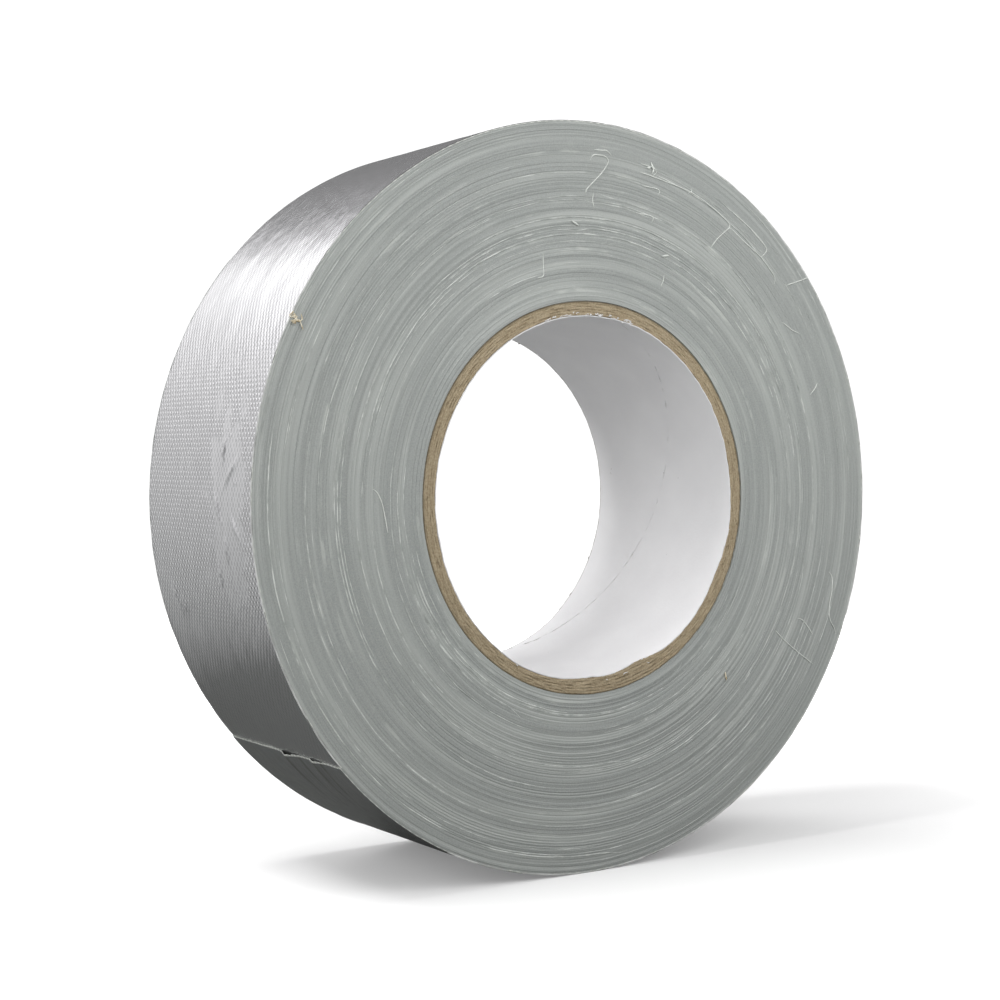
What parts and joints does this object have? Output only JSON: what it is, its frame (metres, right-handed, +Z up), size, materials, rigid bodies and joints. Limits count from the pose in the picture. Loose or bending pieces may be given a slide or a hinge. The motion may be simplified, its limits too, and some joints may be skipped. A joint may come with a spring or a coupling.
{
  "type": "duct tape roll",
  "caption": "Full roll of silver cloth-backed tape on a paperboard core, standing on its rim, with a free end that peels back.",
  "frame": {"origin": "middle of the core's bore, halfway across the tape's width", "axes": "+Z up with the roll standing on its rim, Y along the bore; the front side faces -Y and the free end of the tape is at the lower left of that side"},
  "size_m": [0.1571, 0.048, 0.1573],
  "materials": {
    "liner_paper": "matte",
    "kraft_board": "matte",
    "tape_edge": "matte",
    "silver_film": "satin",
    "scrim_cloth": "matte",
    "adhesive": "satin",
    "loose_yarn": "matte"
  },
  "bodies": {
    "roll": {"core_liner": "liner_paper", "core_ply_1": "kraft_board", "core_ply_2": "kraft_board", "core_ply_3": "kraft_board", "core_ply_4": "kraft_board", "core_ply_5": "kraft_board", "tape_winding": "tape_edge", "outer_wrap_film": "silver_film", "outer_wrap_scrim": "scrim_cloth", "outer_wrap_adhesive": "adhesive", "loose_yarns_front": "loose_yarn", "loose_yarns_back": "loose_yarn"},
    "tail_panel_1": {"tail_film_1": "silver_film", "tail_scrim_1": "scrim_cloth", "tail_adhesive_1": "adhesive"},
    "tail_panel_2": {"tail_film_2": "silver_film", "tail_scrim_2": "scrim_cloth", "tail_adhesive_2": "adhesive"},
    "tail_panel_3": {"tail_film_3": "silver_film", "tail_scrim_3": "scrim_cloth", "tail_adhesive_3": "adhesive"},
    "tail_panel_4": {"tail_film_4": "silver_film", "tail_scrim_4": "scrim_cloth", "tail_adhesive_4": "adhesive"}
  },
  "joints": [
    {"name": "tail_peel_1", "type": "hinge", "parent": "roll", "child": "tail_panel_1", "pos_m": [-0.03867, 0, -0.06858], "axis": [0, -1, 0], "range_deg": [0, 22]},
    {"name": "tail_peel_2", "type": "hinge", "parent": "tail_panel_1", "child": "tail_panel_2", "pos_m": [-0.0445, 0, -0.06496], "axis": [0, -1, 0], "range_deg": [0, 22]},
    {"name": "tail_peel_3", "type": "hinge", "parent": "tail_panel_2", "child": "tail_panel_3", "pos_m": [-0.04999, 0, -0.06084], "axis": [0, -1, 0], "range_deg": [0, 22]},
    {"name": "tail_peel_4", "type": "hinge", "parent": "tail_panel_3", "child": "tail_panel_4", "pos_m": [-0.0551, 0, -0.05625], "axis": [0, -1, 0], "range_deg": [0, 22]}
  ],
  "couplings": [
    {"joint": "tail_peel_2", "follows": "tail_peel_1", "ratio": 1},
    {"joint": "tail_peel_3", "follows": "tail_peel_1", "ratio": 1},
    {"joint": "tail_peel_4", "follows": "tail_peel_1", "ratio": 1}
  ]
}
